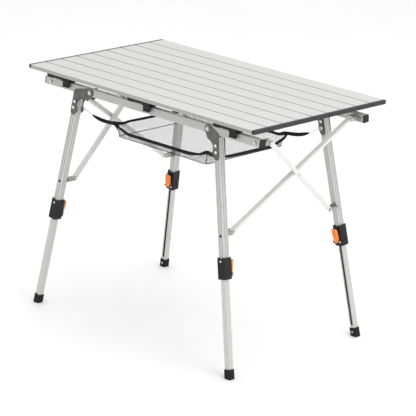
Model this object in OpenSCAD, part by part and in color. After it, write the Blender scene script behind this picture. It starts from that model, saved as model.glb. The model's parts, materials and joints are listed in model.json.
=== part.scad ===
// Folding camp kitchen table: a roll-up slatted top on two rails, four braced
// telescoping legs and a mesh basket. X runs along the slats, Y across them, Z up.
// The origin is on the floor under the middle of the table.

/* [Table top] */
// Length of the top along the slats
top_length = 900; // [800:10:1000]
// Width of the top across the slats
top_width = 537; // [510:1:560]
// Height of the upper face of the slats above the floor
top_height = 717; // [700:1:740]
// Number of slats
slat_count = 9; // [9]
// Thickness of a slat
slat_thickness = 10.5; // [9:0.5:12]
// Gap between neighbouring slats
slat_gap = 0.6; // [0.4:0.1:1]
// Length of the plastic cap on each end of a slat
cap_length = 8; // [6:1:12]

/* [Rails] */
// Half the length of a rail
rail_half_length = 428; // [420:1:440]
// Distance of a rail's centre line from the middle of the table
rail_y = 210; // [208:1:212]
// Height of a rail's centre line
rail_z = 668; // [666:1:670]
// Width of the square rail tube
rail_size = 22; // [20:1:22]
// Wall thickness of the rail tube
rail_wall = 1.5; // [1:0.1:2]

/* [Legs] */
// Distance of each leg's hinge bolt from the middle of the table
pivot_x = 237; // [232:1:242]
// Distance of each foot from the middle, along X
foot_x = 398; // [390:1:405]
// Outward lean of a rail and its two legs
side_tilt = 4.5; // [4:0.1:5]
// Distance from the hinge bolt to the centre line of a right leg
offset_right = 27; // [26.5:0.1:27.5]
// Distance from the hinge bolt to the centre line of a left leg
offset_left = 53; // [52.5:0.1:54]
// Width of the square upper leg tube
upper_size = 21; // [20:0.5:21]
// Width of the square lower leg tube
lower_size = 17; // [16:0.5:17]
// Distance from the hinge level down to the middle of the lock sleeve
sleeve_drop = 383; // [370:1:395]
// Height of the lock sleeve
sleeve_height = 60; // [54:1:64]
// Width of the square lock sleeve
sleeve_size = 29; // [28:0.5:29]

/* [Braces] */
// Distance of the right brace bolts from the middle of the table
brace_x_right = 412; // [410:1:414]
// Distance of the left brace bolts from the middle of the table
brace_x_left = 406; // [404:1:410]
// Height at which a brace meets a leg
brace_low_z = 386; // [380:1:392]
// Distance from a rail's inner face to the brace pin
upper_arm = 27; // [26:0.5:28]
// Width of the square brace tube
brace_size = 12; // [11:0.5:12]

/* [Basket] */
// Half the length of the basket's mouth
basket_half_x = 208; // [190:1:208]
// Middle of the basket along X
basket_x = -8; // [-8:1:0]
// Half the width of the basket's mouth
basket_half_y = 180; // [170:5:182]
// Height of the basket's rim at its corners
basket_rim_z = 577; // [570:1:585]
// Depth of the basket
basket_depth = 40; // [30:1:50]

/* [Hidden] */
$fn = 40;
metal = "#c9cacb";
steel = "#8d9092";
plastic = "#1d1e20";
orange = "#f07818";
SX = [-1, 1];
play = 0.3;
bolt_r = 3;
bore_r = 3.06;

// Slats
pitch = top_width / slat_count;
slat_w = pitch - slat_gap;
slat_bottom = top_height - slat_thickness;
slat_wall = 1.2;
cap_rise = 0.6;

// Legs, in the leaning plane of one side
hinge_drop = rail_z / cos(side_tilt);
reach_x = foot_x - pivot_x;
reach = norm([reach_x, hinge_drop]);
function leg_offset(sx) = sx > 0 ? offset_right : offset_left;
function lean(sx) = atan(reach_x / hinge_drop) - asin(leg_offset(sx) / reach);
function leg_length(sx) = sqrt(reach * reach - leg_offset(sx) * leg_offset(sx));
tube_top = 23;
tube_past_sleeve_middle = 15.5;
plate_t = 1.5;
plate_y = rail_size / 2 + 0.25;
plate_r = 12.5;
rivet_drops = [46, 64];
upper_wall = 1.5;
lower_wall = 1.2;
lower_insert = 60;
foot_size = 21.4;
foot_height = 26;

// Braces. The leg meets its brace on the leg's centre line at brace_low_z
function brace_x(sx) = sx > 0 ? brace_x_right : brace_x_left;
low_drop = (rail_z - brace_low_z) / cos(side_tilt);
function low_x(sx) = foot_x - (hinge_drop - low_drop) * tan(lean(sx));
function low_s(sx) = leg_offset(sx) * tan(lean(sx)) + low_drop / cos(lean(sx));
low_y = rail_y + low_drop * sin(side_tilt);
function fall(sx) = norm([brace_x(sx) - low_x(sx), rail_z - brace_low_z]);
function brace_lean(sx) = atan((brace_x(sx) - low_x(sx)) / (rail_z - brace_low_z));
function low_s_plain(sx) = norm([low_x(sx) - pivot_x, low_drop]);
function folded_x(sx) = brace_x(sx) - pivot_x
    + sqrt(pow(low_s_plain(sx), 2) - pow(leg_offset(sx), 2));
function brace_length(sx) = norm([folded_x(sx), leg_offset(sx)]);
function spread(sx) = sqrt(pow(brace_length(sx), 2) - pow(fall(sx), 2));
function brace_angle(sx) = asin(spread(sx) / brace_length(sx));
pin_y = rail_y - rail_size / 2 - upper_arm;
function lower_arm(sx) = pin_y + low_y - upper_size / 2 - spread(sx);
function crossing(sx) = pin_y / sin(brace_angle(sx));
brace_wall = 1.2;
brace_shift = 8;
cheek_t = 1.5;
cheek_r = 6.5;
pin_r = 2.5;
pin_bore_r = 2.56;
base_gap = 1.1;
pin_head_r = 4;
pin_head_t = 1.3;

// Top latches
latch_x = [-335, 0, 335];
strip_length = 77;
hook_w = 27;
latch_pin = [-(rail_y + 16.5), slat_bottom - 9.5];

// ---- Shared shapes ----

// Everything is drawn for the front right corner and mirrored to the others
module corner(sx, sy) {
    mirror([0, sy > 0 ? 1 : 0, 0]) mirror([sx < 0 ? 1 : 0, 0, 0]) children();
}

// A stadium outline between two points
module capsule2d(a, b, r) {
    d = b - a;
    translate(a) circle(r);
    translate(b) circle(r);
    translate(a) rotate(atan2(d[1], d[0])) translate([0, -r]) square([norm(d), 2 * r]);
}

// The outline drawn tight round a list of circles [x, y, r], given anticlockwise
function side_normal(a, b) = atan2(b[1] - a[1], b[0] - a[0])
    - acos((a[2] - b[2]) / norm([b[0] - a[0], b[1] - a[1]]));
function wrap(angle) = angle < 0 ? wrap(angle + 360) : angle >= 360 ? wrap(angle - 360) : angle;
function round_turn(c, from, sweep, steps = 8) = [for (i = [0:steps])
    [c[0] + c[2] * cos(from + sweep * i / steps), c[1] + c[2] * sin(from + sweep * i / steps)]];
function belt(circles) = let (n = len(circles)) [for (i = [0:n - 1])
    let (before = circles[(i + n - 1) % n], c = circles[i], after = circles[(i + 1) % n],
        from = side_normal(before, c))
    each round_turn(c, from, wrap(side_normal(c, after) - from))];

// A square outline with round corners
module round_square(size, r) {
    inner = size[0] - 2 * r;
    across = size[1] - 2 * r;
    square([size[0], across], center = true);
    square([inner, size[1]], center = true);
    for (x = SX, y = SX) translate([x * inner / 2, y * across / 2]) circle(r);
}

// A cylinder along Y from y0 to y1
module rod_y(r, y0, y1, sides = 40) {
    translate([0, y1, 0]) rotate([90, 0, 0]) cylinder(r = r, h = y1 - y0, $fn = sides);
}

// A cylinder along X from x0 to x1
module rod_x(r, x0, x1, sides = 40) {
    translate([x0, 0, 0]) rotate([0, 90, 0]) cylinder(r = r, h = x1 - x0, $fn = sides);
}

// The leaning frame of the front rail, with the rail's centre line on X
module side_frame() {
    translate([0, -rail_y, rail_z]) rotate([-side_tilt, 0, 0]) children();
}

// The frame of one leg: Z up its centre line, X outward, Y towards the table's middle
module leg_frame(sx) {
    side_frame() translate([pivot_x, 0, 0]) rotate([0, -lean(sx), 0])
        translate([leg_offset(sx), 0, 0]) children();
}

// The frame of one brace: its upper pin at the origin, -Z down the plane of the cross
module brace_frame(sx) {
    translate([brace_x(sx), -pin_y, rail_z]) rotate([0, brace_lean(sx), 0]) children();
}

// ---- Rails ----

module rail(sy) {
    color(metal) corner(1, sy) difference() {
        side_frame() rotate([0, 90, 0]) difference() {
            linear_extrude(2 * rail_half_length, center = true) ribbed_square(rail_size);
            cube([rail_size - 2 * rail_wall, rail_size - 2 * rail_wall, 2 * rail_half_length + 2], center = true);
        }
        for (sx = SX) {
            side_frame() translate([sx * pivot_x, 0, 0]) rod_y(bore_r, -rail_size, rail_size);
            translate([sx * brace_x(sx), -rail_y, rail_z]) rod_y(bore_r, -rail_size, rail_size);
        }
    }
}

module rail_plugs(sy) {
    flange = 3;
    insert = 11;
    color(plastic) corner(1, sy) side_frame() for (sx = SX) translate([sx * rail_half_length, 0, 0])
        rotate([0, sx * 90, 0]) {
            linear_extrude(flange) round_square([rail_size, rail_size], 2.5);
            difference() {
                translate([0, 0, -insert / 2])
                    cube([rail_size - 2 * rail_wall - 0.4, rail_size - 2 * rail_wall - 0.4, insert], center = true);
                translate([0, 0, -insert / 2 - 1])
                    cube([rail_size - 4 * rail_wall, rail_size - 4 * rail_wall, insert], center = true);
            }
        }
}

// Small saddles on the rail that carry the edge slat between the latches
module rest_lugs(sy) {
    lug_x = 125;
    lug_w = 16;
    lug_top = slat_bottom - 0.1;
    color(metal) corner(1, sy) difference() {
        side_frame() for (sx = SX) translate([sx * lug_x, 0, rail_size / 2]) rotate([90, 0, 0])
            linear_extrude(rail_size - 6, center = true) union() {
                translate([-lug_w / 2, 0]) square([lug_w, 32]);
                translate([-lug_w, 0]) square([2 * lug_w, 2]);
            }
        translate([-rail_half_length, -2 * rail_y, lug_top]) cube([2 * rail_half_length, 2 * rail_y, 60]);
    }
}

// Leg hinge bolts and brace swivel bolts, each with a head outside and a nut inside
module rail_bolts(sy) {
    head_y = plate_y + plate_t + play;
    nut_t = 4;
    color(steel) corner(1, sy) {
        side_frame() for (sx = SX) translate([sx * pivot_x, 0, 0]) {
            rod_y(bolt_r, -head_y - 0.1, head_y + 0.1);
            rod_y(7, -head_y - 1.2, -head_y, 32);
            rod_y(5.5, -head_y - 4.2, -head_y - 1.1, 6);
            rod_y(5.5, head_y, head_y + nut_t, 6);
        }
        for (sx = SX) translate([sx * brace_x(sx), -rail_y, rail_z]) {
            rod_y(bolt_r, -rail_size / 2 - 1.5, rail_size / 2 + base_gap + cheek_t - 0.1);
            rod_y(5.2, -rail_size / 2 - 3.4, -rail_size / 2 - 0.9, 32);
        }
    }
}

// ---- Legs ----

// Two stamped plates and their rivets, riveted over the top of the leg
module bracket(sx, sy) {
    offset = leg_offset(sx);
    crook = [-37.5, -52];
    crook_r = 26;
    color(steel) corner(sx, sy) leg_frame(sx) {
        for (side = SX) translate([0, side * (plate_y + plate_t / 2), 0]) rotate([90, 0, 0]) difference() {
            linear_extrude(plate_t, center = true) difference() {
                polygon(belt([[-offset, 0, plate_r], [0, -76, plate_r - 2], [0, -20, plate_r - 0.5]]));
                translate(crook) circle(crook_r);
            }
            translate([-offset, 0, -plate_t]) cylinder(r = bore_r, h = 2 * plate_t);
            for (drop = rivet_drops) translate([0, -drop, -plate_t]) cylinder(r = bolt_r, h = 2 * plate_t);
        }
        for (drop = rivet_drops) translate([0, 0, -drop]) {
            rod_y(bolt_r, -plate_y - plate_t, plate_y + plate_t);
            for (side = SX) translate([0, side * (plate_y + plate_t + 0.8), 0]) rod_y(4.6, -0.8, 0.8);
        }
    }
}

// Tube outline with two shallow grooves along each face
module ribbed_square(size) {
    groove_w = 1.4;
    groove_d = 0.5;
    difference() {
        round_square([size, size], 1.4);
        for (turn = [0:3], x = SX) rotate(90 * turn)
            translate([x * size / 5 - groove_w / 2, size / 2 - groove_d]) square([groove_w, 2 * groove_d]);
    }
}

module upper_leg(sx, sy) {
    length = sleeve_drop + tube_past_sleeve_middle - tube_top;
    access_r = 4;
    color(metal) corner(sx, sy) leg_frame(sx) difference() {
        translate([0, 0, -tube_top - length]) linear_extrude(length) difference() {
            ribbed_square(upper_size);
            square(upper_size - 2 * upper_wall, center = true);
        }
        for (drop = rivet_drops) translate([0, 0, -drop]) rod_y(bolt_r + 0.05, -upper_size, upper_size);
        translate([0, 0, -low_s(sx)]) rod_y(access_r, -upper_size, 0);
    }
}

// Plastic lock housing clamped round the end of the upper tube
module sleeve(sx, sy) {
    top_z = sleeve_height / 2;
    throat = 14;
    lug_x = 8.3;
    lug_t = 3.4;
    lug_z = -17;
    face = sleeve_size / 2;
    color(plastic) corner(sx, sy) leg_frame(sx) translate([0, 0, -sleeve_drop]) {
        difference() {
            union() {
                translate([0, 0, -top_z]) linear_extrude(sleeve_height) round_square([sleeve_size, sleeve_size], 4);
                for (side = SX) translate([side * (lug_x + lug_t / 2), 0, 0]) rotate([90, 0, 90])
                    linear_extrude(lug_t, center = true)
                        polygon(belt([[face - 2, lug_z - 6, 3], [face + 5, lug_z, 4], [face - 2, lug_z + 4, 3]]));
                translate([-lug_x - lug_t - 1, face - 1, -top_z + 6])
                    cube([2 * (lug_x + lug_t + 1), 2.4, sleeve_height - 14]);
            }
            translate([0, 0, -top_z + throat]) linear_extrude(sleeve_height) square(upper_size + 0.2, center = true);
            translate([0, 0, -top_z - 1]) linear_extrude(sleeve_height) square(lower_size + 0.6, center = true);
            translate([0, 0, top_z + 5]) rod_y(8, -sleeve_size, sleeve_size);
        }
        translate([0, face + 5, lug_z]) rod_x(2, -lug_x - lug_t - 1, lug_x + lug_t + 1);
    }
}

// Curved cam lever, standing up the inner face of its sleeve when locked
module cam_lever(sx, sy) {
    half_w = 7.6;
    face = sleeve_size / 2;
    color(orange) corner(sx, sy) leg_frame(sx) translate([0, face + 5, -sleeve_drop - 17]) difference() {
        rotate([90, 0, 90]) linear_extrude(2 * half_w, center = true)
            polygon(belt([[0, 0, 3.3], [3.4, 18, 3.2], [6.6, 38, 1.6], [2.2, 34, 1.8]]));
        rod_x(2.06, -10, 10);
    }
}

module lower_leg(sx, sy) {
    bottom = leg_length(sx) - 8;
    slot_w = 7.4;
    color(metal) corner(sx, sy) leg_frame(sx) difference() {
        translate([0, 0, -bottom]) linear_extrude(bottom - sleeve_drop + lower_insert) difference() {
            round_square([lower_size, lower_size], 1.2);
            square(lower_size - 2 * lower_wall, center = true);
        }
        translate([-slot_w / 2, lower_size / 2 - 3, -bottom + foot_height])
            cube([slot_w, 6, bottom]);
    }
}

// Rubber boot, cut level with the floor
module foot(sx, sy) {
    length = leg_length(sx);
    color("#161617") corner(sx, sy) difference() {
        leg_frame(sx) difference() {
            translate([0, 0, -length - 6]) linear_extrude(foot_height + 6) round_square([foot_size, foot_size], 3);
            translate([0, 0, -length + 7.9]) linear_extrude(foot_height) square(lower_size + 0.1, center = true);
        }
        translate([0, -2 * rail_y, -50]) cube([2 * foot_x, 2 * rail_y, 50]);
    }
}

// ---- Braces ----

// One bar of a cross, from a rail end to the opposite leg, with its pins
module brace(sx, sy) {
    length = brace_length(sx);
    shift = -sy * brace_shift;
    half_pin = brace_size / 2 + cheek_t + 2 * play;
    color(metal) corner(sx, sy) brace_frame(sx) translate([shift, 0, 0]) rotate([brace_angle(sx), 0, 0]) {
        difference() {
            rotate([90, 0, 90]) linear_extrude(brace_size, center = true)
                capsule2d([0, 0], [0, -length], brace_size / 2);
            translate([0, 0, -length / 2])
                cube([brace_size - 2 * brace_wall, brace_size - 2 * brace_wall, length - 20], center = true);
            for (drop = [0, length]) translate([0, 0, -drop]) rod_x(pin_bore_r, -brace_size, brace_size);
            translate([0, 0, -crossing(sx)]) rod_x(pin_bore_r, -brace_size, brace_size);
        }
        for (drop = [0, length]) translate([0, 0, -drop]) {
            rod_x(pin_r, -half_pin - 0.1, half_pin + 0.1);
            rod_x(pin_head_r, shift > 0 ? half_pin : -half_pin - pin_head_t,
                shift > 0 ? half_pin + pin_head_t : -half_pin);
        }
        if (sy < 0) translate([0, 0, -crossing(sx)]) {
            rod_x(pin_r, -brace_shift * 2 - brace_size / 2 - 1, brace_size / 2 + 1);
            rod_x(4.5, brace_size / 2 + play, brace_size / 2 + 2);
            rod_x(4.5, -brace_shift * 2 - brace_size / 2 - 2, -brace_shift * 2 - brace_size / 2 - play);
            rod_x(6, -brace_size / 2 - 3.6, -brace_size / 2 - 0.3);
        }
    }
}

// U-shaped saddle: a round base against the tube at y = -arm, two cheeks on the pin
module clevis(arm, shift, bolt_hole) {
    inner = brace_size / 2 + play;
    base_y = -arm + base_gap;
    difference() {
        union() {
            for (side = SX) translate([shift + side * (inner + cheek_t / 2), 0, 0]) rotate([90, 0, 90])
                linear_extrude(cheek_t, center = true) capsule2d([base_y + cheek_r, 0], [0, 0], cheek_r);
            translate([shift - inner - cheek_t, base_y, -cheek_r])
                cube([2 * (inner + cheek_t), cheek_t, 2 * cheek_r]);
            rod_y(8.5, base_y, base_y + cheek_t);
        }
        for (side = SX) translate([shift + side * (inner + cheek_t / 2), 0, 0])
            rod_x(pin_bore_r, -cheek_t, cheek_t);
        if (bolt_hole) rod_y(bore_r, -arm - 2, base_y + cheek_t + 1);
    }
}

module rail_clevis(sx, sy) {
    color(steel) corner(sx, sy) brace_frame(sx) clevis(upper_arm, -sy * brace_shift, true);
}

// The clevis on a leg holds the bar that comes from the opposite rail
module leg_clevis(sx, sy) {
    shift = sy * brace_shift;
    arm = lower_arm(sx);
    color(steel) corner(sx, -sy) brace_frame(sx) translate([0, spread(sx), -fall(sx)]) mirror([0, 1, 0]) {
        clevis(arm, shift, false);
        rod_y(5, -arm + base_gap + cheek_t - 0.1, -arm + base_gap + cheek_t + 3, 6);
        rod_y(bolt_r, -arm + 0.6, -arm + base_gap + 0.1);
    }
}

// ---- Top ----

// Hollow slat with two webs and a plastic cap in each end
module slat(index) {
    y0 = -top_width / 2 + (index - 1) * pitch + slat_gap / 2;
    body = top_length - 2 * cap_length;
    cells = 3;
    cell_w = (slat_w - (cells + 1) * slat_wall) / cells;
    translate([0, y0, slat_bottom]) {
        color(metal) rotate([90, 0, 90]) linear_extrude(body, center = true) difference() {
            translate([slat_w / 2, slat_thickness / 2]) round_square([slat_w, slat_thickness], 0.9);
            for (i = [0:cells - 1]) translate([slat_wall + i * (cell_w + slat_wall), slat_wall])
                square([cell_w, slat_thickness - 2 * slat_wall]);
        }
        for (sx = SX) color(plastic) translate([sx * (top_length - cap_length) / 2, slat_w / 2, slat_thickness / 2])
            rotate([90, 0, 90]) linear_extrude(cap_length, center = true) difference() {
                round_square([slat_w, slat_thickness + 2 * cap_rise], 1.2);
                for (x = SX) translate([x * slat_w / 2, -slat_thickness / 2]) circle(2.2);
            }
    }
}

// Ribbed strips under the edge slats, each with a saddle standing on the rail
module latch_bases(sy) {
    strip_h = 8;
    strip_y = [-top_width / 2 + 3, -rail_y + 8];
    tooth = [3.4, 12, 3];
    post = [3, 14];
    saddle_bottom = rail_z + 12.15;
    color(plastic) corner(1, sy) for (x = latch_x) translate([x, 0, 0]) {
        difference() {
            translate([-strip_length / 2, strip_y[0], slat_bottom - strip_h])
                cube([strip_length, strip_y[1] - strip_y[0], strip_h]);
            translate([-hook_w / 2 - 0.1, latch_pin[0] - 4.2, slat_bottom - strip_h - 1])
                cube([hook_w + 0.2, 8.4, strip_h - 4]);
        }
        for (rib = [-5:5]) if (abs(rib) > 2)
            translate([rib * 7 - tooth[0] / 2, strip_y[0] + 1, slat_bottom - strip_h - tooth[2] + 0.1]) cube(tooth);
        translate([-hook_w / 2, -rail_y - 9, saddle_bottom])
            cube([hook_w, 17, slat_bottom - strip_h - saddle_bottom + 0.01]);
        for (side = SX) translate([side * (hook_w / 2 + 2.1) - post[0] / 2, latch_pin[0] - 3.4, latch_pin[1] - 3.4])
            cube([post[0], post[1], slat_bottom - latch_pin[1] + 3.4]);
        translate([0, latch_pin[0], latch_pin[1]]) rod_x(1.6, -hook_w / 2 - 2.5, hook_w / 2 + 2.5);
    }
}

// Hooks that swing down over the outer face of the rail
module latch_hooks(sy) {
    drop = 26;
    lip = 4;
    color(plastic) corner(1, sy) for (x = latch_x) translate([x, latch_pin[0], latch_pin[1]]) difference() {
        rotate([90, 0, 90]) linear_extrude(hook_w - 0.6, center = true) union() {
            circle(3.1);
            capsule2d([-0.2, 0], [0.6, -drop], 1.9);
            capsule2d([0.6, -drop], [-1.6, -drop - lip], 1.5);
        }
        rod_x(1.66, -hook_w, hook_w);
    }
}

// ---- Basket ----

module basket_shape(inset, rise) {
    corner_r = 30;
    shrink = 0.93;
    translate([basket_x, 0, basket_rim_z - basket_depth + rise])
        linear_extrude(basket_depth + 0.01, scale = 1 / shrink) scale([shrink, shrink])
            round_square([2 * (basket_half_x - inset), 2 * (basket_half_y - inset)], corner_r, $fn = 24);
}

module basket_mesh() {
    skin = 1.6;
    color("#55585b") difference() {
        basket_shape(0, 0);
        basket_shape(skin, skin);
    }
}

// Bound rim as a round loop just above the mouth of the mesh
module basket_rim() {
    r = 2.6;
    bend = 30;
    x = basket_half_x - bend;
    y = basket_half_y - bend;
    color(plastic) translate([basket_x, 0, basket_rim_z + r]) {
        for (side = SX) {
            translate([0, side * basket_half_y, 0]) rod_x(r, -x, x, 16);
            translate([side * basket_half_x, 0, 0]) rod_y(r, -y, y, 16);
        }
        for (sx = SX, sy = SX) translate([sx * x, sy * y, 0])
            rotate([0, 0, sx > 0 ? (sy > 0 ? 0 : 270) : (sy > 0 ? 90 : 180)])
                rotate_extrude(angle = 90, $fn = 48) translate([bend, 0]) circle(r, $fn = 16);
    }
}

// A short elastic cord from each corner of the rim up to the lower rivet of the bracket beside it
module basket_cords() {
    r = 1.5;
    knot_r = 3.2;
    from_corner = 4.4;
    drop = rivet_drops[1];
    color(plastic) for (sx = SX, sy = SX) corner(sx, sy) {
        inner = [basket_half_x - from_corner + sx * basket_x, -(basket_half_y - from_corner), basket_rim_z + 2.6];
        fall_in_side = drop * cos(lean(sx)) - leg_offset(sx) * sin(lean(sx));
        outer = [pivot_x + leg_offset(sx) * cos(lean(sx)) + drop * sin(lean(sx)),
            -(rail_y + fall_in_side * sin(side_tilt)) + plate_y + plate_t + 2 + knot_r,
            rail_z - fall_in_side * cos(side_tilt)];
        d = outer - inner;
        translate(inner) rotate([0, acos(d[2] / norm(d)), atan2(d[1], d[0])])
            cylinder(r = r, h = norm(d), $fn = 16);
        translate(inner) sphere(knot_r, $fn = 24);
        translate(outer) sphere(knot_r, $fn = 24);
    }
}

rail(-1);  // rail_front
rail(1);  // rail_back
rail_plugs(-1);  // rail_plugs_front
rail_plugs(1);  // rail_plugs_back
rest_lugs(-1);  // rest_lugs_front
rest_lugs(1);  // rest_lugs_back
rail_bolts(-1);  // rail_bolts_front
rail_bolts(1);  // rail_bolts_back
bracket(-1, -1);  // bracket_front_left
bracket(1, -1);  // bracket_front_right
bracket(-1, 1);  // bracket_back_left
bracket(1, 1);  // bracket_back_right
upper_leg(-1, -1);  // upper_leg_front_left
upper_leg(1, -1);  // upper_leg_front_right
upper_leg(-1, 1);  // upper_leg_back_left
upper_leg(1, 1);  // upper_leg_back_right
sleeve(-1, -1);  // sleeve_front_left
sleeve(1, -1);  // sleeve_front_right
sleeve(-1, 1);  // sleeve_back_left
sleeve(1, 1);  // sleeve_back_right
cam_lever(-1, -1);  // cam_lever_front_left
cam_lever(1, -1);  // cam_lever_front_right
cam_lever(-1, 1);  // cam_lever_back_left
cam_lever(1, 1);  // cam_lever_back_right
lower_leg(-1, -1);  // lower_leg_front_left
lower_leg(1, -1);  // lower_leg_front_right
lower_leg(-1, 1);  // lower_leg_back_left
lower_leg(1, 1);  // lower_leg_back_right
foot(-1, -1);  // foot_front_left
foot(1, -1);  // foot_front_right
foot(-1, 1);  // foot_back_left
foot(1, 1);  // foot_back_right
brace(-1, -1);  // brace_front_left
brace(1, -1);  // brace_front_right
brace(-1, 1);  // brace_back_left
brace(1, 1);  // brace_back_right
rail_clevis(-1, -1);  // rail_clevis_front_left
rail_clevis(1, -1);  // rail_clevis_front_right
rail_clevis(-1, 1);  // rail_clevis_back_left
rail_clevis(1, 1);  // rail_clevis_back_right
leg_clevis(-1, -1);  // leg_clevis_front_left
leg_clevis(1, -1);  // leg_clevis_front_right
leg_clevis(-1, 1);  // leg_clevis_back_left
leg_clevis(1, 1);  // leg_clevis_back_right
slat(1);  // slat_1
slat(2);  // slat_2
slat(3);  // slat_3
slat(4);  // slat_4
slat(5);  // slat_5
slat(6);  // slat_6
slat(7);  // slat_7
slat(8);  // slat_8
slat(9);  // slat_9
latch_bases(-1);  // latch_bases_front
latch_bases(1);  // latch_bases_back
latch_hooks(-1);  // latch_hooks_front
latch_hooks(1);  // latch_hooks_back
basket_mesh();
basket_rim();
basket_cords();
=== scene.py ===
# Looks for the folding camp kitchen table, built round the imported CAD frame. Metres.
import json
import math
import bmesh
import bpy
from mathutils import Matrix, Vector


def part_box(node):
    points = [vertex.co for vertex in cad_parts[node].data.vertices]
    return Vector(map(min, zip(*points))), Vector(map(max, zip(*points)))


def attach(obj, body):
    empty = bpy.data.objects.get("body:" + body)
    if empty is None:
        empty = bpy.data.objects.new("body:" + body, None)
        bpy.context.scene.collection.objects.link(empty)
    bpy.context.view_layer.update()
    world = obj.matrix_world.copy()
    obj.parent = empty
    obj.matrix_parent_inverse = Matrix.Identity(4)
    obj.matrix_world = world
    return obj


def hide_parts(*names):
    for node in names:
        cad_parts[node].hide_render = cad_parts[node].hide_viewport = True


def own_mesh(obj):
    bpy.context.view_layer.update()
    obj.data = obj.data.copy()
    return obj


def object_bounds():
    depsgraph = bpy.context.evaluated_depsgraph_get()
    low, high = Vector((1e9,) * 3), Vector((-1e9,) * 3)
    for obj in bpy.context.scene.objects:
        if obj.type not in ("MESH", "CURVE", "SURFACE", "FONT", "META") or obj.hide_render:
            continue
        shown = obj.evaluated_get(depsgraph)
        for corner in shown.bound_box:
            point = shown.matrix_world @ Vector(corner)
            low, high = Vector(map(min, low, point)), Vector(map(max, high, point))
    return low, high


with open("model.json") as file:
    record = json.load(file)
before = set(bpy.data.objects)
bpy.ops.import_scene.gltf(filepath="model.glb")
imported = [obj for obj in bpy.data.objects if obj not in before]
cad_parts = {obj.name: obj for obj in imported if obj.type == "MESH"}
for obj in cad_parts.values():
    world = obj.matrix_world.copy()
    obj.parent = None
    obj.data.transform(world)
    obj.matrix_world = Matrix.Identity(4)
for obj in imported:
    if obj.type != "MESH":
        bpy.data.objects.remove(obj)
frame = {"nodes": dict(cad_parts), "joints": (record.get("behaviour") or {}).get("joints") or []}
cad_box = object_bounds()
NODES = frame["nodes"]
CORNERS = [(-1, -1, "front_left"), (1, -1, "front_right"), (-1, 1, "back_left"), (1, 1, "back_right")]
scene = bpy.context.scene


# ---------------------------------------------------------------- camera and light

def make_camera():
    azimuth, elevation, roll = (math.radians(a) for a in (43.98, 17.43, 2.43))
    distance = 6.56
    aim = Vector((0.0216, 0.0140, 0.3430))
    back = Vector((math.sin(azimuth) * math.cos(elevation),
                   -math.cos(azimuth) * math.cos(elevation), math.sin(elevation)))
    right = Vector((math.cos(azimuth), math.sin(azimuth), 0))
    up = back.cross(right)
    turned = right * math.cos(roll) + up * math.sin(roll)
    up = up * math.cos(roll) - right * math.sin(roll)
    camera = bpy.data.objects.new("camera", bpy.data.cameras.new("camera"))
    camera.data.sensor_width = 36
    camera.data.lens = 196.2
    camera.data.clip_end = 60
    turn = Matrix((turned, up, back)).transposed().to_4x4()
    camera.matrix_world = Matrix.Translation(aim + back * distance) @ turn
    scene.collection.objects.link(camera)
    scene.camera = camera


def area_light(name, place, target, size, watts):
    light = bpy.data.lights.new(name, "AREA")
    light.shape = "DISK"
    light.size = size
    light.energy = watts
    lamp = bpy.data.objects.new(name, light)
    lamp.location = place
    lamp.rotation_euler = (Vector(target) - Vector(place)).to_track_quat("-Z", "Y").to_euler()
    scene.collection.objects.link(lamp)


def make_studio():
    scene.view_settings.view_transform = "Standard"
    world = bpy.data.worlds.new("studio")
    world.use_nodes = True
    background = world.node_tree.nodes["Background"]
    background.inputs["Color"].default_value = (1, 1, 1, 1)
    background.inputs["Strength"].default_value = 0.98
    scene.world = world
    area_light("key", (3.2, -0.4, 2.6), (0, 0, 0.4), 2.4, 48)
    area_light("top", (-0.6, 0.8, 3.4), (0, 0, 0.6), 2.6, 18)
    bm = bmesh.new()
    bmesh.ops.create_grid(bm, x_segments=1, y_segments=1, size=14)
    floor = new_object("floor", bm)
    floor.location.z = -0.0005
    floor.data.materials.append(surface("floor_paint", (0.95, 0.95, 0.95), 0.6, grain=(3, 3, 3), tint=0.01))


# ---------------------------------------------------------------- materials

def node(tree, kind, **inputs):
    made = tree.nodes.new(kind)
    for name, value in inputs.items():
        made.inputs[name.replace("_", " ")].default_value = value
    return made


def maths(tree, operation, a, b=0.0):
    made = tree.nodes.new("ShaderNodeMath")
    made.operation = operation
    for socket, value in zip(made.inputs, (a, b)):
        if isinstance(value, (int, float)):
            socket.default_value = value
        else:
            tree.links.new(value, socket)
    return made.outputs[0]


def noise(tree, scale, detail=4.0, size=1.0):
    """Noise stretched by a scale for each axis, in the object's own metres."""
    coords = tree.nodes.new("ShaderNodeTexCoord")
    mapping = tree.nodes.new("ShaderNodeMapping")
    mapping.inputs["Scale"].default_value = scale
    tree.links.new(coords.outputs["Object"], mapping.inputs["Vector"])
    made = node(tree, "ShaderNodeTexNoise", Scale=size, Detail=detail)
    tree.links.new(mapping.outputs["Vector"], made.inputs["Vector"])
    return made.outputs["Fac"]


def ramp(tree, source, low, high, low_at=0.3, high_at=0.7):
    made = tree.nodes.new("ShaderNodeValToRGB")
    made.color_ramp.elements[0].position = low_at
    made.color_ramp.elements[0].color = (*low, 1)
    made.color_ramp.elements[1].position = high_at
    made.color_ramp.elements[1].color = (*high, 1)
    tree.links.new(source, made.inputs["Fac"])
    return made.outputs["Color"]


def spread(tree, source, middle, reach):
    """A number that wanders round middle by up to reach."""
    made = tree.nodes.new("ShaderNodeMapRange")
    made.inputs["From Min"].default_value = 0.3
    made.inputs["From Max"].default_value = 0.7
    made.inputs["To Min"].default_value = middle - reach
    made.inputs["To Max"].default_value = middle + reach
    tree.links.new(source, made.inputs["Value"])
    return made.outputs["Result"]


def bump(tree, bsdf, height, strength, distance=0.0002):
    made = node(tree, "ShaderNodeBump", Strength=strength, Distance=distance)
    tree.links.new(height, made.inputs["Height"])
    tree.links.new(made.outputs["Normal"], bsdf.inputs["Normal"])


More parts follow.
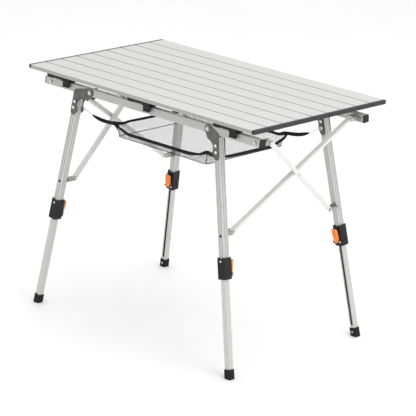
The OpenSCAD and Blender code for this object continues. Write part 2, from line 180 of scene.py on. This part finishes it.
def surface(name, base, roughness, metallic=0.0, grain=(60, 60, 60), tint=0.06, relief=0.0,
            relief_grain=None, relief_depth=0.0002, coat=0.0, sheen=0.0, gloss=0.5):
    """One Principled surface with drifting colour, drifting roughness and a fine relief."""
    material = bpy.data.materials.new(name)
    material.use_nodes = True
    tree = material.node_tree
    bsdf = tree.nodes["Principled BSDF"]
    bsdf.inputs["Metallic"].default_value = metallic
    bsdf.inputs["Coat Weight"].default_value = coat
    bsdf.inputs["Coat Roughness"].default_value = 0.25
    bsdf.inputs["Sheen Weight"].default_value = sheen
    bsdf.inputs["Specular IOR Level"].default_value = gloss
    drift = noise(tree, grain)
    low = tuple(c * (1 - tint) for c in base)
    high = tuple(min(1, c * (1 + tint)) for c in base)
    tree.links.new(ramp(tree, drift, low, high), bsdf.inputs["Base Color"])
    tree.links.new(spread(tree, drift, roughness, roughness * 0.15), bsdf.inputs["Roughness"])
    if relief:
        bump(tree, bsdf, noise(tree, relief_grain or grain, detail=6), relief, relief_depth)
    return material


def mix_over(tree, target, share, value):
    """Mixes a value over what a shader socket holds, and returns the result without linking it."""
    is_colour = isinstance(value, tuple)
    made = tree.nodes.new("ShaderNodeMix")
    made.data_type = "RGBA" if is_colour else "FLOAT"
    under, over, result = 2, 3, 0
    if is_colour:
        under, over, result = 6, 7, 2
    if target.links:
        tree.links.new(target.links[0].from_socket, made.inputs[under])
    else:
        made.inputs[under].default_value = target.default_value
    made.inputs[over].default_value = value
    tree.links.new(share, made.inputs[0])
    return made.outputs[result]


def tint_where(tree, colour, share, tint):
    """Multiplies a colour by a tint where share is 1."""
    made = tree.nodes.new("ShaderNodeMix")
    made.data_type = "RGBA"
    made.blend_type = "MULTIPLY"
    made.inputs[7].default_value = (*tint, 1)
    tree.links.new(share, made.inputs[0])
    tree.links.new(colour, made.inputs[6])
    return made.outputs[2]


def slat_material():
    """Anodised slat brushed along X, with black moulded caps past the ends of the extrusion, and painted
    shade in the steps between the slats.
    """
    cap_length = 0.008
    cap_roughness = 0.55
    cap_colour = (0.022, 0.022, 0.024, 1)
    end = cad_box[1][0] - cap_length
    material = surface("slat_anodised", (0.60, 0.598, 0.592), 0.45, 0.45, (1.5, 420, 420), 0.035,
                       0.25, (2.5, 900, 900), 0.00012)
    tree = material.node_tree
    bsdf = tree.nodes["Principled BSDF"]
    coords = tree.nodes.new("ShaderNodeTexCoord")
    split = tree.nodes.new("ShaderNodeSeparateXYZ")
    tree.links.new(coords.outputs["Object"], split.inputs[0])
    cap = maths(tree, "GREATER_THAN", maths(tree, "ABSOLUTE", split.outputs["X"]), end)
    for name, value in (("Metallic", 0.0), ("Roughness", cap_roughness)):
        tree.links.new(mix_over(tree, bsdf.inputs[name], cap, value), bsdf.inputs[name])
    colour = mix_over(tree, bsdf.inputs["Base Color"], cap, cap_colour)
    # painted shade: the steps between the slats and the top's outer edge are darkened in the colour
    tree.links.new(paint_joint_shade(tree, colour, split.outputs["Y"]), bsdf.inputs["Base Color"])
    return material


def paint_groove_shade(material, origin, across, through, groove_at):
    """Paints shade into two pairs of lengthwise grooves, at groove_at either side of a tube's centre line.
    """
    groove_half = 0.0008
    # Tint of the painted shade in the grooves
    groove_shade_tint = (0.62, 0.62, 0.62)
    tree = material.node_tree
    target = tree.nodes["Principled BSDF"].inputs["Base Color"]
    coords = tree.nodes.new("ShaderNodeTexCoord")
    away = tree.nodes.new("ShaderNodeVectorMath")
    away.operation = "SUBTRACT"
    away.inputs[1].default_value = origin
    tree.links.new(coords.outputs["Object"], away.inputs[0])
    masks = []
    for axis in (across, through):
        dot = tree.nodes.new("ShaderNodeVectorMath")
        dot.operation = "DOT_PRODUCT"
        dot.inputs[1].default_value = axis
        tree.links.new(away.outputs["Vector"], dot.inputs[0])
        side = maths(tree, "ABSOLUTE", dot.outputs["Value"])
        off_groove = maths(tree, "ABSOLUTE", maths(tree, "SUBTRACT", side, groove_at))
        masks.append(maths(tree, "LESS_THAN", off_groove, groove_half))
    groove_shade_mask = maths(tree, "MAXIMUM", masks[0], masks[1])
    tree.links.new(tint_where(tree, target.links[0].from_socket, groove_shade_mask, groove_shade_tint), target)


def paint_joint_shade(tree, colour, y):
    """Paints shade into the steps between the slats, and a little less shade onto the outer edge of the top.
    """
    # Width and tint of the painted shade in the steps, then depth and tint of the painted shade on the outer
    # edge
    step_width = 0.0021
    step_shade_tint = (0.30, 0.30, 0.30)
    edge_depth = 0.0006
    edge_shade_tint = (0.66, 0.66, 0.65)
    first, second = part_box("slat_1")[0].y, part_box("slat_2")[0].y
    pitch = second - first
    before_all = first - 10 * pitch
    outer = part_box("slat_9")[1].y

    turns = maths(tree, "DIVIDE", maths(tree, "SUBTRACT", y, before_all), pitch)
    from_middle = maths(tree, "ABSOLUTE", maths(tree, "SUBTRACT", maths(tree, "FRACT", turns), 0.5))
    step = maths(tree, "GREATER_THAN", from_middle, 0.5 - step_width / pitch)
    off_centre = maths(tree, "ABSOLUTE", y)
    inside = maths(tree, "LESS_THAN", off_centre, outer - 2 * step_width)
    edge_shade_mask = maths(tree, "GREATER_THAN", off_centre, outer - edge_depth)
    step_shaded = tint_where(tree, colour, maths(tree, "MULTIPLY", step, inside), step_shade_tint)
    return tint_where(tree, step_shaded, edge_shade_mask, edge_shade_tint)


def net_material():
    """Knitted net: dark threads round open holes, laid out by the sheet's own flat coordinates."""
    hole_pitch = 0.0028
    thread_width = 0.31
    material = surface("net", (0.075, 0.077, 0.08), 0.8, 0, (90, 90, 90), 0.2, sheen=0.2)
    tree = material.node_tree
    bsdf = tree.nodes["Principled BSDF"]
    uv = tree.nodes.new("ShaderNodeUVMap")
    uv.uv_map = "flat"
    split = tree.nodes.new("ShaderNodeSeparateXYZ")
    tree.links.new(uv.outputs["UV"], split.inputs[0])
    waves = []
    for a, b in ((1, 1), (1, -1)):
        along = maths(tree, "ADD", maths(tree, "MULTIPLY", split.outputs["X"], a * 2 * math.pi / hole_pitch),
                      maths(tree, "MULTIPLY", split.outputs["Y"], b * 2 * math.pi / hole_pitch))
        waves.append(maths(tree, "ABSOLUTE", maths(tree, "SINE", along)))
    thread = maths(tree, "MINIMUM", waves[0], waves[1])
    solid = maths(tree, "LESS_THAN", thread, thread_width)
    tree.links.new(solid, bsdf.inputs["Alpha"])
    return material


def tape_material():
    """Woven binding tape: fine ribs along and across."""
    return surface("binding_tape", (0.006, 0.006, 0.007), 0.75, 0, (200, 200, 200), 0.3,
                   0.5, (1400, 1400, 1400), 0.0003, sheen=0.08, gloss=0.2)


def make_materials():
    along_x = (2, 500, 500)
    along_z = (380, 380, 3)
    drawn_x = (3, 900, 900)
    drawn_z = (800, 800, 5)
    return {
        "slat": slat_material(),
        "rail": surface("rail_aluminium", (0.52, 0.522, 0.512), 0.40, 0.55, along_x, 0.05,
                        0.3, drawn_x, 0.00012),
        "tube": surface("leg_aluminium", (0.56, 0.562, 0.552), 0.38, 0.55, along_z, 0.06,
                        0.3, drawn_z, 0.00012),
        "brace": surface("brace_aluminium", (0.72, 0.72, 0.71), 0.42, 0.4, along_z, 0.04,
                         0.2, drawn_z, 0.0001),
        "bracket": surface("bracket_steel", (0.135, 0.133, 0.128), 0.38, 0.7, (70, 70, 70), 0.22,
                           0.3, (300, 300, 300), 0.0002),
        "saddle": surface("saddle_steel", (0.36, 0.36, 0.355), 0.34, 0.75, (90, 90, 90), 0.15,
                          0.3, (300, 300, 300), 0.0002),
        "fastener": surface("zinc_fastener", (0.62, 0.63, 0.65), 0.24, 0.9, (150, 150, 150), 0.14,
                            0.2, (500, 500, 500)),
        "chrome": surface("chrome_pin", (0.74, 0.75, 0.77), 0.14, 1.0, (90, 90, 90), 0.05),
        "plastic": surface("black_plastic", (0.011, 0.011, 0.012), 0.48, 0, (120, 120, 120), 0.2,
                           0.4, (1600, 1600, 1600), 0.0002, gloss=0.28),
        "orange": surface("orange_plastic", (0.89, 0.235, 0.02), 0.36, 0, (80, 80, 80), 0.07,
                          0.2, (1500, 1500, 1500), 0.0001, coat=0.2),
        "rubber": surface("foot_rubber", (0.009, 0.009, 0.010), 0.7, 0, (150, 150, 150), 0.3,
                          0.5, (900, 900, 900), 0.0003, gloss=0.25),
        "net": net_material(),
        "tape": tape_material(),
        "seam": surface("seam_thread", (0.06, 0.06, 0.064), 0.8, 0, (300, 300, 300), 0.2,
                        0.4, (1500, 1500, 1500)),
    }


def paint_frame(materials):
    """Gives each CAD node the finish of its kind, and paints shade into the grooves of the upper legs."""
    kinds = {"slat_": "slat", "rail_front": "rail", "rail_back": "rail", "rail_plugs": "plastic",
             "rest_lugs": "rail", "rail_bolts": "fastener", "bracket": "bracket", "upper_leg": "tube",
             "lower_leg": "tube", "sleeve": "plastic", "cam_lever": "orange", "foot": "rubber",
             "brace": "brace", "rail_clevis": "saddle", "leg_clevis": "saddle", "latch": "plastic"}
    for name, made in NODES.items():
        for start, kind in kinds.items():
            if name.startswith(start):
                made.data.materials.clear()
                made.data.materials.append(materials[kind])
    for _, sy, name in CORNERS:
        middle, out, inward, _ = leg_axes(name, sy)
        # A copy of the tube finish with painted shade in the upper leg's grooves
        groove_shaded = materials["tube"].copy()
        groove_shaded.name = "leg_aluminium_" + name
        paint_groove_shade(groove_shaded, middle, out, inward, UPPER_HALF * 2 / 5)
        NODES["upper_leg_" + name].data.materials[0] = groove_shaded


# ---------------------------------------------------------------- shared mesh building

def new_object(name, bm, smooth=False):
    mesh = bpy.data.meshes.new(name)
    bmesh.ops.recalc_face_normals(bm, faces=bm.faces)
    bm.to_mesh(mesh)
    bm.free()
    for face in mesh.polygons:
        face.use_smooth = smooth
    made = bpy.data.objects.new(name, mesh)
    scene.collection.objects.link(made)
    return made


def add_tube(bm, points, radii, sides=10, closed=False, flatten=1.0, up=Vector((0, 0, 1))):
    """Sweeps a round or flattened section along the points, with a cap at each open end."""
    rings = []
    count = len(points)
    for i, point in enumerate(points):
        before = points[(i - 1) % count] if closed or i else points[i]
        after = points[(i + 1) % count] if closed or i < count - 1 else points[i]
        tangent = (Vector(after) - Vector(before)).normalized()
        side = tangent.cross(up)
        side = side.normalized() if side.length > 1e-4 else Vector((1, 0, 0))
        over = side.cross(tangent).normalized()
        radius = radii[i] if isinstance(radii, (list, tuple)) else radii
        ring = []
        for k in range(sides):
            turn = 2 * math.pi * k / sides
            ring.append(bm.verts.new(Vector(point) + side * math.cos(turn) * radius * flatten
                                     + over * math.sin(turn) * radius))
        rings.append(ring)
    pairs = list(zip(rings, rings[1:])) + ([(rings[-1], rings[0])] if closed else [])
    for a, b in pairs:
        for k in range(sides):
            bm.faces.new((a[k], a[(k + 1) % sides], b[(k + 1) % sides], b[k]))
    if not closed:
        bm.faces.new(rings[0])
        bm.faces.new(list(reversed(rings[-1])))


def finish_piece(piece, body, material):
    piece.data.materials.append(material)
    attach(piece, body)
    return piece


# ---------------------------------------------------------------- legs, as the joints place them

JOINTS = {joint["name"]: joint for joint in frame["joints"]}

# Half widths of the sleeve and the tubes, and half the sleeve's length
SLEEVE_FACE = 0.0145
SLEEVE_HALF = 0.030
LOWER_HALF = 0.0085
UPPER_HALF = 0.0105

# The cam lever's pin, below the sleeve's middle and in front of its face
LEVER_DROP = 0.017
LEVER_STAND = 0.005

# The bracket's rivets below the hinge bolt, and how far rivet and bolt heads start from the middle
RIVET_DROPS = (0.046, 0.064)
RIVET_FACE = 0.01435
BOLT_FACE = 0.01725


def leg_axes(name, sy):
    """The middle of a leg's sleeve, and its outward, inward-to-the-table and down directions."""
    down = Vector(JOINTS["leg_slide_" + name]["axis"]).normalized()
    lever = JOINTS["cam_lever_hinge_" + name]
    out = Vector(lever["axis"]).normalized()
    inward = down.cross(out).normalized()
    if inward.y * -sy < 0:
        inward = -inward
    if out.x * Vector(lever["pos_m"]).x < 0:
        out = -out
    middle = Vector(lever["pos_m"]) - inward * (SLEEVE_FACE + LEVER_STAND) - down * LEVER_DROP
    return middle, out, inward, down


def leg_head(name, sy):
    """A leg's hinge bolt, the point of the leg's centre line beside it, and two directions."""
    middle, _, inward, down = leg_axes(name, sy)
    hinge = Vector(JOINTS["leg_hinge_" + name]["pos_m"])
    return hinge, middle + down * (hinge - middle).dot(down), inward, down


# ---------------------------------------------------------------- basket

# How far each side of the rim hangs below the corners
SAG_RIGHT, SAG_BACK, SAG_LEFT, SAG_FRONT = 0.026, 0.014, 0.008, 0.019


def basket_outline(turn, half_x, half_y):
    """A point on a rounded rectangle, by angle."""
    power = 0.24
    c, s = math.cos(turn), math.sin(turn)
    return (half_x * math.copysign(abs(c) ** power, c), half_y * math.copysign(abs(s) ** power, s))


def side_share(turn):
    """0 at a corner of the rim and 1 half way between two corners."""
    return abs(math.cos(2 * turn)) ** 1.4


def rim_sag(turn):
    c, s = math.cos(turn), math.sin(turn)
    depth = (SAG_RIGHT * max(c, 0) ** 2 + SAG_LEFT * max(-c, 0) ** 2
             + SAG_BACK * max(s, 0) ** 2 + SAG_FRONT * max(-s, 0) ** 2)
    ripple = 0.0013 * math.sin(11 * turn + 0.8) + 0.0009 * math.sin(17 * turn)
    return (depth + ripple) * side_share(turn)


# How far the cloth's middle lies inside its box
CLOTH_MARGIN = 0.002

# The floor's outline as a share of the rim's
FLOOR_SCALE = 0.925


class Basket:
    """The basket's corners and levels, taken from its CAD box."""

    def __init__(self):
        low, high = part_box("basket_mesh")
        self.x = (low[0] + high[0]) / 2
        self.half_x = (high[0] - low[0]) / 2 - CLOTH_MARGIN
        self.half_y = high[1] - CLOTH_MARGIN
        self.rim_z = high[2]
        self.floor_z = low[2] + CLOTH_MARGIN

    def rim(self, turn, scale=1.0):
        inward = 0.012
        x, y = basket_outline(turn, self.half_x, self.half_y)
        pull = scale * (1 - inward * side_share(turn) / min(self.half_x, self.half_y))
        return Vector((self.x + x * pull, y * pull, self.rim_z - rim_sag(turn)))


def wall_point(basket, turn, down):
    """A point of the net's wall, with down from 0 at the rim to 1 at the floor."""
    waist = 0.02
    ripple = 0.0016
    middle = math.sin(down * math.pi)
    point = basket.rim(turn, 1 - (1 - FLOOR_SCALE) * down - waist * middle)
    point.z += (basket.floor_z - point.z) * down ** 0.9
    return point + Vector((math.cos(turn), math.sin(turn), 0)) * ripple * middle * math.sin(23 * turn)


def floor_point(basket, turn, share):
    """A point of the net's floor, with share from 0 at its centre to 1 at its edge."""
    rumple = 0.0016
    fold = math.sin(5 * turn + 6 * share) + 0.6 * math.sin(3 * turn - 9 * share)
    point = basket.rim(turn, FLOOR_SCALE * share)
    point.z = basket.floor_z + rumple * fold * share * (1 - share) * 4
    return point


def make_net(basket, materials):
    """One sheet: a wall that is drawn in a little half way down, and a rumpled floor."""
    around, wall_rings, floor_rings = 160, 9, 16
    wall_flat = 0.2
    bm = bmesh.new()
    uv_flat = bm.loops.layers.uv.new("flat")
    rings, flat_of = [], {}
    for level in range(wall_rings + floor_rings):
        ring = []
        for k in range(around):
            turn = 2 * math.pi * (k + 0.5) / around
            if level <= wall_rings:
                down = level / wall_rings
                point = wall_point(basket, turn, down)
                flat_scale = 1 + wall_flat * (1 - down)
            else:
                flat_scale = 1 - (level - wall_rings) / floor_rings
                point = floor_point(basket, turn, flat_scale)
            vert = bm.verts.new(point)
            edge = basket.rim(turn, FLOOR_SCALE)
            flat_of[vert] = ((edge.x - basket.x) * flat_scale, edge.y * flat_scale)
            ring.append(vert)
        rings.append(ring)
    for a, b in zip(rings, rings[1:]):
        for k in range(around):
            bm.faces.new((a[k], a[(k + 1) % around], b[(k + 1) % around], b[k]))
    centre = bm.verts.new((basket.x, 0, basket.floor_z))
    flat_of[centre] = (0, 0)
    for k in range(around):
        bm.faces.new((rings[-1][k], rings[-1][(k + 1) % around], centre))
    for face in bm.faces:
        for loop in face.loops:
            loop[uv_flat].uv = flat_of[loop.vert]
    net = new_object("basket_net", bm, smooth=True)
    return finish_piece(net, "basket", materials["net"])


def make_binding(basket, materials):
    """Folded tape round the mouth, of a width that varies a little along its length."""
    steps = 192
    above_rim = Vector((0, 0, 0.002))
    turns = [2 * math.pi * k / steps for k in range(steps)]
    bm = bmesh.new()
    path = [basket.rim(turn) + above_rim for turn in turns]
    radii = [0.0046 + 0.0007 * math.sin(7 * turn) + 0.0005 * math.sin(13 * turn + 1) for turn in turns]
    add_tube(bm, path, radii, 10, closed=True, flatten=0.5)
    rim = new_object("basket_binding", bm, smooth=True)
    return finish_piece(rim, "basket", materials["tape"])


def make_seams(basket, materials):
    """A seam round the floor's edge and one down each corner."""
    steps = 160
    floor_seam = 0.928
    corner_seam = 0.94
    bend_drop = 0.022
    bm = bmesh.new()
    bottom = [basket.rim(2 * math.pi * k / steps, floor_seam) for k in range(steps)]
    for point in bottom:
        point.z = basket.floor_z + 0.0012
    add_tube(bm, bottom, 0.0011, 6, closed=True)
    for sx, sy, _ in CORNERS:
        turn = math.atan2(sy, sx)
        middle = basket.rim(turn, corner_seam)
        middle.z = basket.rim_z - bend_drop
        foot = basket.rim(turn, floor_seam)
        foot.z = basket.floor_z + 0.001
        add_tube(bm, [basket.rim(turn), middle, foot], 0.0012, 6)
    seams = new_object("basket_seams", bm, smooth=True)
    return finish_piece(seams, "basket", materials["seam"])


def make_hangers(basket, materials):
    """A stout strap from each corner of the rim, with a wire hook over the bracket's lower rivet."""
    strap_share = 0.66
    tuck_depth = 0.020
    wire_radius = 0.0011
    eye_radius = 0.0050
    eye_gap = 0.0052
    hang = Vector((0, 0, -0.010))
    strap_radii = [0.0034, 0.0052, 0.0058, 0.0056, 0.0059, 0.0055, 0.0057, 0.0050, 0.0038, 0.0022]
    tuck_radii = [0.0030, 0.0050, 0.0056, 0.0052]
    straps, hooks = bmesh.new(), bmesh.new()
    for sx, sy, name in CORNERS:
        corner = basket.rim(math.atan2(sy, sx)) + Vector((0, 0, 0.001))
        _, beside, inward, down = leg_head(name, sy)
        rivet = beside + down * RIVET_DROPS[1] + inward * (RIVET_FACE + eye_gap)
        run = rivet - corner

        def along(t):
            return corner + run * t + hang * math.sin(math.pi * t)

        add_tube(straps, [along(strap_share * i / 9) for i in range(10)], strap_radii, 10, flatten=0.55)
        tuck = [corner - run.normalized() * back for back in (tuck_depth, tuck_depth / 2, 0)]
        add_tube(straps, tuck + [along(0.08)], tuck_radii, 10, flatten=0.6)

        wire_start = strap_share - 0.03
        wire = [along(wire_start + (1 - wire_start) * i / 10) for i in range(11)]
        for i, point in enumerate(wire):
            point.z += 0.0016 * math.sin(1.7 * i)
        add_tube(hooks, wire, wire_radius, 8)
        eye = [wire[-1] + Vector((math.cos(a), 0, math.sin(a))) * eye_radius
               for a in (i * math.pi / 8 for i in range(16))]
        add_tube(hooks, eye, wire_radius, 6, closed=True, up=Vector((0, 1, 0)))
    strap = new_object("basket_straps", straps, smooth=True)
    hook = new_object("basket_hooks", hooks, smooth=True)
    finish_piece(strap, "basket", materials["tape"])
    finish_piece(hook, "basket", materials["chrome"])
    return strap, hook


def make_basket(materials):
    basket = Basket()
    net = make_net(basket, materials)
    rim = make_binding(basket, materials)
    seams = make_seams(basket, materials)
    straps, hooks = make_hangers(basket, materials)
    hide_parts("basket_mesh")
    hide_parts("basket_rim")
    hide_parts("basket_cords")
    for piece in (net, rim, seams, straps, hooks):
        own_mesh(piece)


# ---------------------------------------------------------------- leg details

def add_block(bm, centre, axes, half, bevel):
    """A box along three axes with its edges rounded."""
    made = bmesh.ops.create_cube(bm, size=2)
    turn = Matrix((axes[0] * half[0], axes[1] * half[1], axes[2] * half[2])).transposed().to_4x4()
    bmesh.ops.transform(bm, matrix=Matrix.Translation(centre) @ turn, verts=made["verts"])
    edges = list({e for v in made["verts"] for e in v.link_edges})
    bmesh.ops.bevel(bm, geom=edges, offset=bevel, segments=2, affect="EDGES")


def add_disc(bm, centre, axis, radius, height, dome=0.3):
    """A round screw or rivet head standing on its axis, slightly domed."""
    path = [centre + axis * height * t for t in (0, 0.6, 0.9, 1.0)]
    up = Vector((1, 0, 0)) if abs(axis.x) < 0.8 else Vector((0, 0, 1))
    add_tube(bm, path, [radius, radius, radius * (1 - dome * 0.4), radius * (1 - dome)], 20, up=up)


def drop_to_foot(name, sy):
    """The way down the leg from the sleeve's middle to the bottom of the foot."""
    middle, _, _, down = leg_axes(name, sy)
    return (middle.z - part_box("foot_" + name)[0].z) / -down.z


def make_slot_shade_strip(name, sy, materials):
    """A dark sheet sunk in the slot down the inner face of the lower tube, standing in for the shade inside
    the tube: painted shade.
    """
    half_width, half_thickness = 0.0034, 0.0007
    inside_sleeve, above_foot = 0.012, 0.030
    sunk = 0.0010
    middle, out, inward, down = leg_axes(name, sy)
    top = SLEEVE_HALF - inside_sleeve
    bottom = drop_to_foot(name, sy) - above_foot
    centre = middle + down * (top + bottom) / 2 + inward * (LOWER_HALF - sunk)
    bm = bmesh.new()
    add_block(bm, centre, (out, inward, down), (half_width, half_thickness, (bottom - top) / 2), 0.0002)
    # painted shade: a black sheet where the inside of the tube lies in shade
    shade_strip = new_object("slot_shade_strip_" + name, bm)
    finish_piece(shade_strip, "lower_leg_" + name, materials["plastic"])


def make_foot_screw(name, sy, materials):
    above_floor, foot_face = 0.014, 0.0107
    middle, _, inward, down = leg_axes(name, sy)
    centre = middle + down * (drop_to_foot(name, sy) - above_floor) + inward * foot_face
    bm = bmesh.new()
    add_disc(bm, centre, inward, 0.0031, 0.0010)
    screw = new_object("foot_screw_" + name, bm, smooth=True)
    finish_piece(screw, "lower_leg_" + name, materials["fastener"])


def make_sleeve_ribs(name, sy, materials):
    """Five grip ribs and a collar line on each side of the sleeve, and two long ribs on its outer face."""
    rib_pitch, first_rib = 0.0045, 0.004
    collar_rise = 0.0165
    long_rib_gap, long_rib_drop = 0.0065, 0.002
    middle, out, inward, down = leg_axes(name, sy)
    axes = (out, inward, down)
    bm = bmesh.new()
    for side in (-1, 1):
        face = middle + out * side * SLEEVE_FACE
        for step in range(5):
            rib = face + down * (first_rib + step * rib_pitch)
            add_block(bm, rib, axes, (0.0006, 0.0085, 0.0010), 0.0004)
        collar = middle + out * side * (SLEEVE_FACE - 0.0002) - down * collar_rise
        add_block(bm, collar, axes, (0.0007, 0.0090, 0.0012), 0.0004)
    for side in (-1, 1):
        centre = middle - inward * SLEEVE_FACE + out * side * long_rib_gap + down * long_rib_drop
        add_block(bm, centre, axes, (0.0008, 0.0006, 0.0200), 0.0003)
    ribs = new_object("sleeve_ribs_" + name, bm)
    finish_piece(ribs, "leg_" + name, materials["plastic"])


def lever_pin(name, sy):
    middle, _, inward, down = leg_axes(name, sy)
    return middle + inward * (SLEEVE_FACE + LEVER_STAND) + down * LEVER_DROP


def make_sleeve_pins(name, sy, materials):
    """Both ends of the cam lever's pin, and the rivet on the sleeve's outer face."""
    pin_half, rivet_rise = 0.0117, 0.020
    middle, out, inward, down = leg_axes(name, sy)
    bm = bmesh.new()
    for side in (-1, 1):
        add_disc(bm, lever_pin(name, sy) + out * side * pin_half, out * side, 0.0027, 0.0012)
    add_disc(bm, middle - inward * SLEEVE_FACE - down * rivet_rise, -inward, 0.0030, 0.0010)
    pins = new_object("sleeve_pins_" + name, bm, smooth=True)
    finish_piece(pins, "leg_" + name, materials["chrome"])


def make_bracket_heads(name, sy, materials):
    """The heads of the bracket's rivets, and of the hinge bolt, on both faces."""
    sunk = 0.0004
    hinge, beside, inward, down = leg_head(name, sy)
    bm = bmesh.new()
    for side in (-1, 1):
        for drop in RIVET_DROPS:
            centre = beside + down * drop + inward * side * (RIVET_FACE - sunk)
            add_disc(bm, centre, inward * side, 0.0049, 0.0018, 0.5)
    rivets = new_object("bracket_rivets_" + name, bm, smooth=True)
    finish_piece(rivets, "leg_" + name, materials["chrome"])

    bm = bmesh.new()
    for side in (-1, 1):
        add_disc(bm, hinge + inward * side * (BOLT_FACE - sunk), inward * side, 0.0042, 0.0012, 0.5)
    caps = new_object("hinge_bolt_caps_" + name, bm, smooth=True)
    finish_piece(caps, "front_rail" if sy < 0 else "back_rail", materials["chrome"])


def make_lever_grip(name, sy, materials):
    """Four ribs across the cam lever's thumb face."""
    rib_pitch, first_rib = 0.0042, 0.016
    stand, taper = 0.0062, 0.0006
    _, out, inward, down = leg_axes(name, sy)
    bm = bmesh.new()
    for step in range(4):
        rise = first_rib + step * rib_pitch
        centre = lever_pin(name, sy) + inward * (stand + taper * step) - down * rise
        add_block(bm, centre, (out, inward, down), (0.0058, 0.0006, 0.0008), 0.0003)
    grip = new_object("lever_grip_" + name, bm)
    finish_piece(grip, "cam_lever_" + name, materials["orange"])


def make_leg_details(materials):
    for _, sy, name in CORNERS:
        make_slot_shade_strip(name, sy, materials)
        make_foot_screw(name, sy, materials)
        make_sleeve_ribs(name, sy, materials)
        make_sleeve_pins(name, sy, materials)
        make_bracket_heads(name, sy, materials)
        make_lever_grip(name, sy, materials)


make_camera()
materials = make_materials()
make_studio()
paint_frame(materials)
make_basket(materials)
make_leg_details(materials)
